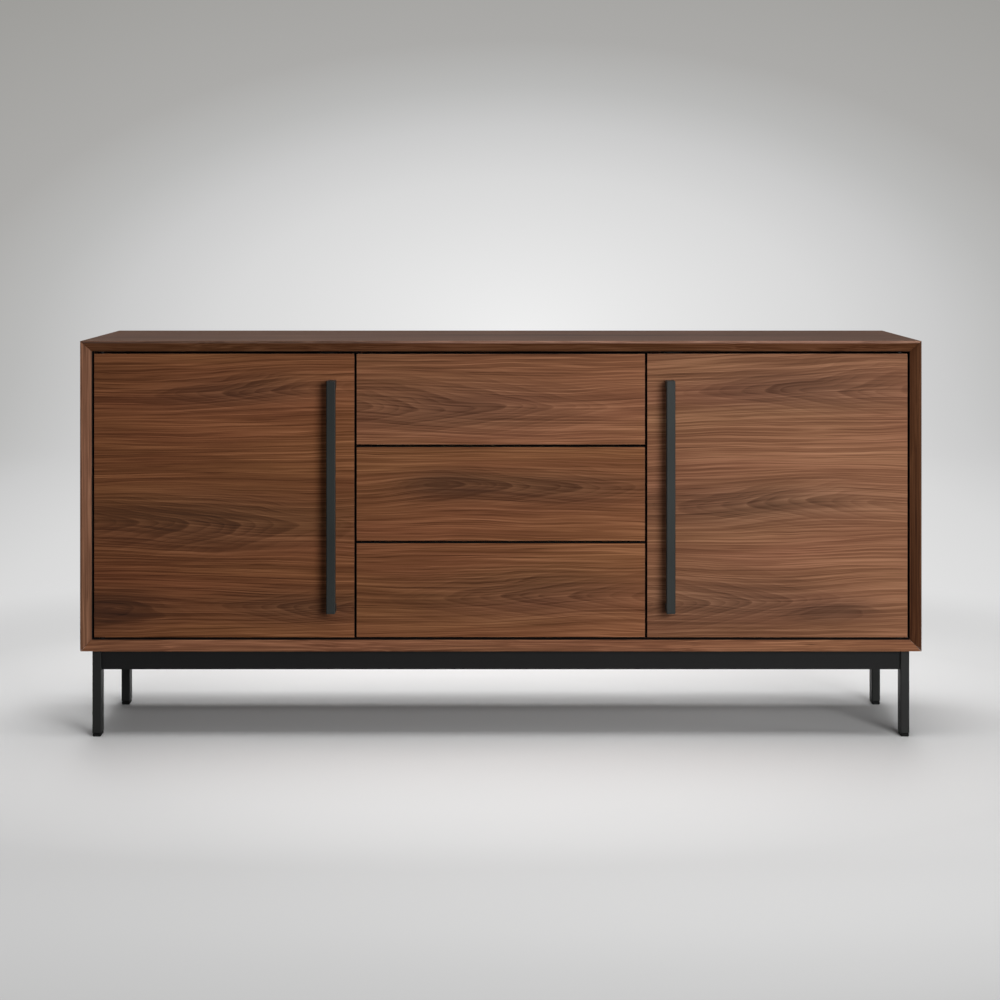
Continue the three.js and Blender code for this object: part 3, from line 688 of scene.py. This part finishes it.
# Drawer fronts: the same veneered board as the doors, cut from other leaves and painted near
# black on the edges as gap shade, with no pulls: a push on the front lets the drawer out.
DRAWER_GAP_SHADE_REACH = 0.0008
TOP_DRAWER_FIGURE = [arches(-0.08, 0.634, 0.26, 0.050, 0.18)]
MIDDLE_DRAWER_FIGURE = [
    arches(0.08, 0.476, 0.20, 0.036, 0.17, dark=0.04),
    eye(-0.10, 0.478, 0.08, 0.026, dark=0.04),
]
BOTTOM_DRAWER_FIGURE = [arches(0.08, 0.265, 0.22, 0.050, -0.18)]
dress_front("top_drawer_front", 29.2, TOP_DRAWER_FIGURE, 1.49, 0.93, DRAWER_GAP_SHADE_REACH)
dress_front("middle_drawer_front", 32.8, MIDDLE_DRAWER_FIGURE, 1.27, 0.97, DRAWER_GAP_SHADE_REACH)
dress_front("bottom_drawer_front", 35.5, BOTTOM_DRAWER_FIGURE, 1.29, 0.97, DRAWER_GAP_SHADE_REACH)

# Drawer boxes: birch plywood sides and backs whose edges show the plies, and thin bottoms in
# grooves. Turning cam fittings near the front of each side draw it tight to the front.
PLY = 0.0012
BIRCH_SHADES = [
    (0.25, (196, 164, 120)),
    (0.50, (215, 187, 145)),
    (0.75, (228, 204, 166)),
]
BOX_EDGE = 0.0010
GRAIN_BACKWARDS = (0, 0, math.radians(-90))
CAM_RADIUS = 0.0062
CAM_SETBACK = 0.024
CAM_HEIGHTS = (0.045, 0.105)


def birch_plywood(name, grain, layer_axis):
    material, tree = new_finish(name)
    here = add_node(tree, "ShaderNodeTexCoord").outputs["Object"]
    turned = add_node(tree, "ShaderNodeMapping", here, (0, 0, 0), grain)
    flecks = noise(tree, stretched(tree, turned, (14, 420, 420)), roughness=0.6)
    clouds = noise(tree, stretched(tree, turned, (2.5, 18, 18)))
    shade = total(tree, 0.5, swing(tree, flecks, 0.5), swing(tree, clouds, 0.7))
    if layer_axis:
        depth = add_node(tree, "ShaderNodeSeparateXYZ", here).outputs[layer_axis]
        layers = calc(tree, "PINGPONG", calc(tree, "ABSOLUTE", depth), PLY)
        core = add_node(tree, "ShaderNodeMapRange", layers, 0.2 * PLY, 0.8 * PLY, 0.0, -0.24)
        shade = total(tree, shade, core)
    colour = tones(tree, shade, BIRCH_SHADES)
    roughness = add_node(tree, "ShaderNodeMapRange", flecks, 0.3, 0.7, 0.52, 0.62)
    surface(tree, colour, roughness, flecks, 0.1, specular=0.35)
    return material


side_birch = birch_plywood("birch_sides", GRAIN_BACKWARDS, "X")
back_birch = birch_plywood("birch_backs", GRAIN_FLAT, "Y")
bottom_birch = birch_plywood("birch_bottoms", GRAIN_BACKWARDS, None)
cam = cross_screw("cam_fitting", CAM_RADIUS, 0.0004, 0.002, 0.0002, zinc)
for drawer in ("bottom", "middle", "top"):
    dress(f"{drawer}_drawer_back", back_birch, BOX_EDGE)
    dress(f"{drawer}_drawer_bottom", bottom_birch, VENEER_EDGE)
    for side, sign, turn in (("left", -1, TO_RIGHT), ("right", 1, TO_LEFT)):
        wall = f"{drawer}_drawer_{side}_side"
        dress(wall, side_birch, BOX_EDGE)
        wall_low, wall_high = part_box(wall)
        inner_face = sign * min(abs(wall_low[0]), abs(wall_high[0]))
        places = [(inner_face, wall_low[1] + CAM_SETBACK, wall_low[2] + height) for height in CAM_HEIGHTS]
        set_out(cam, f"{drawer}_{side}_cam", places, turn, f"{drawer}_drawer")
bpy.data.objects.remove(cam)

# Telescopic slides: three nested channels of rolled, zinc-plated steel on each side of a
# drawer. Round-headed screws hold the inner channel to the drawer's side.
SLIDE_EDGE = 0.00015
SLIDE_SHEET = 0.0012
SLIDE_SCREWS = (0.030, 0.110, 0.330)
slide_screw = cross_screw("slide_screw", 0.0032, 0.0016, 0.0006, 0.0010, zinc)
for drawer in ("bottom", "middle", "top"):
    for side, sign, turn in (("left", -1, TO_LEFT), ("right", 1, TO_RIGHT)):
        for channel in ("cabinet", "middle", "drawer"):
            dress(f"{drawer}_{side}_slide_{channel}_channel", zinc, SLIDE_EDGE)
        channel_low, channel_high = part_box(f"{drawer}_{side}_slide_drawer_channel")
        web_face = sign * (min(abs(channel_low[0]), abs(channel_high[0])) + SLIDE_SHEET)
        screw_z = (channel_low[2] + channel_high[2]) / 2
        places = [(web_face, channel_low[1] + distance, screw_z) for distance in SLIDE_SCREWS]
        set_out(slide_screw, f"{drawer}_{side}_slide_screw", places, turn, f"{drawer}_drawer")
bpy.data.objects.remove(slide_screw)

# Base: two end frames of welded rectangular tube and two folded rails, all in a fine black
# powder coat, the rails in a much darker copy of it as painted shade under the case. Screws
# through the frames' lugs and the rails' flanges hold it to the case, and a screw in each
# rail's end tab holds it to a leg.
LEG_BLACK = (32, 33, 32)
# The rails and base screws take a much darker copy of the legs' coat: painted shade under the case's
# overhang.
SHADED_RAIL_BLACK = (9, 9, 9)
FRAME_EDGE = 0.0007
RAIL_EDGE = 0.0005
SHEET = 0.003
BASE_SCREW_RADIUS = 0.0055
LUG_SCREW_INSET = 0.017
LUG_SETBACK = 0.072
FLANGE_STEPS = (-3, -1, 1, 3)
leg_coat = black_coat("black_powder_coat", LEG_BLACK, 0.52, 900.0)
shaded_rail_coat = black_coat("shaded_rail_black_coat", SHADED_RAIL_BLACK, 0.60, 900.0)
base_screw = cross_screw("base_screw", BASE_SCREW_RADIUS, 0.0030, 0.0010, 0.0018, shaded_rail_coat)
for side, sign in (("left", -1), ("right", 1)):
    end_frame = f"{side}_end_frame"
    dress(end_frame, leg_coat, FRAME_EDGE)
    end_low, end_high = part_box(end_frame)
    lug_x = sign * (min(abs(end_low[0]), abs(end_high[0])) + LUG_SCREW_INSET)
    lug_z = end_high[2] - SHEET
    places = [(lug_x, y, lug_z) for y in (end_low[1] + LUG_SETBACK, end_high[1] - LUG_SETBACK)]
    set_out(base_screw, f"{side}_lug_screw", places, TO_FLOOR, "carcass")
for end, web_side in (("front", 1), ("rear", -1)):
    rail = f"{end}_rail"
    dress(rail, shaded_rail_coat, RAIL_EDGE)
    rail_low, rail_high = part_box(rail)
    flange_y = (rail_low[1] + rail_high[1]) / 2 + web_side * SHEET / 2
    flange_z = rail_high[2] - SHEET
    places = [(rail_high[0] * step / 4, flange_y, flange_z) for step in FLANGE_STEPS]
    set_out(base_screw, f"{end}_rail_screw", places, TO_FLOOR, "carcass")
    tab_z = (rail_low[2] + rail_high[2] - SHEET) / 2
    left_tab = [(rail_low[0] + SHEET, flange_y, tab_z)]
    right_tab = [(rail_high[0] - SHEET, flange_y, tab_z)]
    set_out(base_screw, f"{end}_rail_left_tab_screw", left_tab, TO_RIGHT, "carcass")
    set_out(base_screw, f"{end}_rail_right_tab_screw", right_tab, TO_LEFT, "carcass")
bpy.data.objects.remove(base_screw)

# Glides: moulded black nylon pads plugged into the feet of the legs.
GLIDE_EDGE = 0.0003
for end in ("front", "rear"):
    for side in ("left", "right"):
        dress(f"{end}_{side}_glide", plastic, GLIDE_EDGE)

# Floor and backdrop: a round seamless sweep of matt paper. The floor is lit and takes the
# shadow; its paper is painted lighter in a pool round the case, a painted pool of light that
# fades outwards and sits a little to the left. The wall behind shows a soft round glow to the
# camera and to reflections only.
FLOOR_RADIUS = 5.5
SWEEP_RADIUS = 2.0
SWEEP_STEPS = 16
WALL_HEIGHT = 6.0
# Shades of the painted pool of light on the floor, by distance from its centre.
LIGHT_POOL_SHADES = [
    (0.16, (244, 244, 244)),
    (0.30, (228, 228, 228)),
    (0.45, (205, 205, 205)),
    (0.65, (188, 188, 188)),
    (0.90, (180, 180, 180)),
]
LIGHT_POOL_REACH = 2.5
LIGHT_POOL_STRETCH = 0.85
LIGHT_POOL_SHIFT = 0.10
FLOOR_BOUNCE = (0.10, 0.10, 0.10, 1)
BACKDROP_SHADES = [
    (0.00, (240, 240, 240)),
    (0.33, (217, 217, 217)),
    (0.44, (203, 203, 203)),
    (0.53, (186, 186, 185)),
    (0.63, (172, 171, 169)),
    (0.90, (159, 158, 155)),
]
GLOW_SIDE = 0.12
GLOW_HEIGHT = 0.43
GLOW_REACH = 4.5
GLOW_SQUASH = 1.85
GLOW_NEARNESS = 1.2
GLOW_REFLECTED = 0.65
BLEND_START = 1.2
BLEND_END = 2.0

bpy.ops.object.select_all(action="DESELECT")
bpy.ops.mesh.primitive_circle_add(vertices=96, radius=FLOOR_RADIUS, fill_type="NGON", location=(0, 0, 0))
sweep = start_piece("studio_sweep")
bpy.ops.object.mode_set(mode="EDIT")
bpy.ops.mesh.select_mode(type="EDGE")
bpy.ops.mesh.select_all(action="SELECT")
bpy.ops.mesh.region_to_loop()
ring_radius = FLOOR_RADIUS
ring_height = 0.0
for step in range(1, SWEEP_STEPS + 1):
    turn = math.radians(90 * step / SWEEP_STEPS)
    next_radius = FLOOR_RADIUS + SWEEP_RADIUS * math.sin(turn)
    next_height = SWEEP_RADIUS * (1 - math.cos(turn))
    growth = next_radius / ring_radius
    bpy.ops.mesh.extrude_edges_move(TRANSFORM_OT_translate={"value": (0, 0, next_height - ring_height)})
    bpy.ops.transform.resize(value=(growth, growth, 1), center_override=(0, 0, next_height))
    ring_radius = next_radius
    ring_height = next_height
bpy.ops.mesh.extrude_edges_move(TRANSFORM_OT_translate={"value": (0, 0, WALL_HEIGHT - ring_height)})
bpy.ops.mesh.select_all(action="SELECT")
bpy.ops.mesh.normals_make_consistent(inside=True)
bpy.ops.object.mode_set(mode="OBJECT")
bpy.ops.object.shade_smooth()

paper, tree = new_finish("studio_paper")
here = add_node(tree, "ShaderNodeTexCoord").outputs["Object"]
x, y, z = add_node(tree, "ShaderNodeSeparateXYZ", here).outputs
above = calc(tree, "MAXIMUM", calc(tree, "SUBTRACT", z, GLOW_HEIGHT), 0.0)
rise = calc(tree, "MULTIPLY", above, GLOW_SQUASH)
towards_camera = calc(tree, "MULTIPLY", calc(tree, "MINIMUM", y, 0.0), GLOW_NEARNESS)
aside = calc(tree, "SUBTRACT", x, GLOW_SIDE)
glow_place = add_node(tree, "ShaderNodeCombineXYZ", aside, towards_camera, rise)
glow_distance = add_node(tree, "ShaderNodeVectorMath", glow_place, operation="LENGTH").outputs["Value"]
glow_shade = tones(tree, calc(tree, "DIVIDE", glow_distance, GLOW_REACH), BACKDROP_SHADES)
floor_distance = add_node(tree, "ShaderNodeVectorMath", here, operation="LENGTH").outputs["Value"]
light_pool_place = stretched(tree, here, (LIGHT_POOL_STRETCH, 1, 1), (LIGHT_POOL_SHIFT, 0, 0))
light_pool_distance = add_node(tree, "ShaderNodeVectorMath", light_pool_place, operation="LENGTH").outputs["Value"]
painted_light_pool = tones(tree, calc(tree, "DIVIDE", light_pool_distance, LIGHT_POOL_REACH), LIGHT_POOL_SHADES)
rays = add_node(tree, "ShaderNodeLightPath").outputs
glow_strength = calc(tree, "MAXIMUM", rays["Is Camera Ray"], GLOW_REFLECTED)
glow = add_node(tree, "ShaderNodeEmission", glow_shade, glow_strength)
seen = calc(tree, "MAXIMUM", rays["Is Camera Ray"], rays["Is Glossy Ray"])
seen = calc(tree, "MAXIMUM", seen, rays["Is Transmission Ray"])
paper_shade = add_node(tree, "ShaderNodeMix", data_type="RGBA")
feed(tree, paper_shade.inputs["Factor"], seen)
feed(tree, paper_shade.inputs["A"], FLOOR_BOUNCE)
feed(tree, paper_shade.inputs["B"], painted_light_pool)
matt = add_node(tree, "ShaderNodeBsdfDiffuse", paper_shade.outputs["Result"])
far = add_node(
    tree, "ShaderNodeMapRange", floor_distance, BLEND_START, BLEND_END, 0.0, 1.0,
    interpolation_type="SMOOTHSTEP",
)
add_node(
    tree, "ShaderNodeOutputMaterial",
    add_node(tree, "ShaderNodeMixShader", calc(tree, "MULTIPLY", far, seen), matt, glow),
)
sweep.data.materials.append(paper)


# Light: a broad softbox overhead, a narrow one high up behind, the key at the right of the
# camera, a small one at the right end, and a grey room.
def softbox(name, place, aim, width, height, power):
    bpy.ops.object.light_add(type="AREA", location=place)
    lamp = bpy.context.object
    lamp.name = name
    lamp.data.shape = "RECTANGLE"
    lamp.data.size = width
    lamp.data.size_y = height
    lamp.data.energy = power
    run, fall = math.hypot(aim[0] - place[0], aim[1] - place[1]), place[2] - aim[2]
    heading = math.atan2(aim[1] - place[1], aim[0] - place[0])
    lamp.rotation_euler = (math.atan2(run, fall), 0, heading - math.radians(90))


softbox("overhead_softbox", (0, 0.4, 3.4), (0, 0.3, 0), 2.8, 3.8, 122)
softbox("back_softbox", (0, 2.3, 2.6), (0, 0.2, 0), 3.6, 0.5, 45)
softbox("key_softbox", (1.5, -3.5, 1.25), (0, 0, 0.45), 1.5, 1.5, 95)
softbox("side_softbox", (4.2, -0.9, 0.9), (0, -0.2, 0.5), 0.8, 1.4, 18)
room = bpy.data.worlds.new("studio_room")
bpy.context.scene.world = room
room.use_nodes = True
room.node_tree.nodes["Background"].inputs["Color"].default_value = (0.75, 0.75, 0.75, 1)
room.node_tree.nodes["Background"].inputs["Strength"].default_value = 0.06

# Camera: level and straight on, a little over four metres off, with the lens shifted down
# so that the uprights stay parallel.
CASE_FRONT = -0.214
EYE_SIDE = -0.0016
EYE_DISTANCE = 4.373
EYE_HEIGHT = 0.970
LENS = 82.8
LENS_DROP = 0.272
eye_place = (EYE_SIDE, CASE_FRONT - EYE_DISTANCE, EYE_HEIGHT)
bpy.ops.object.camera_add(location=eye_place, rotation=(math.radians(90), 0, 0))
camera = bpy.context.object
camera.data.sensor_width = 36
camera.data.lens = LENS
camera.data.shift_y = -LENS_DROP
bpy.context.scene.camera = camera
bpy.context.scene.view_settings.view_transform = "Standard"
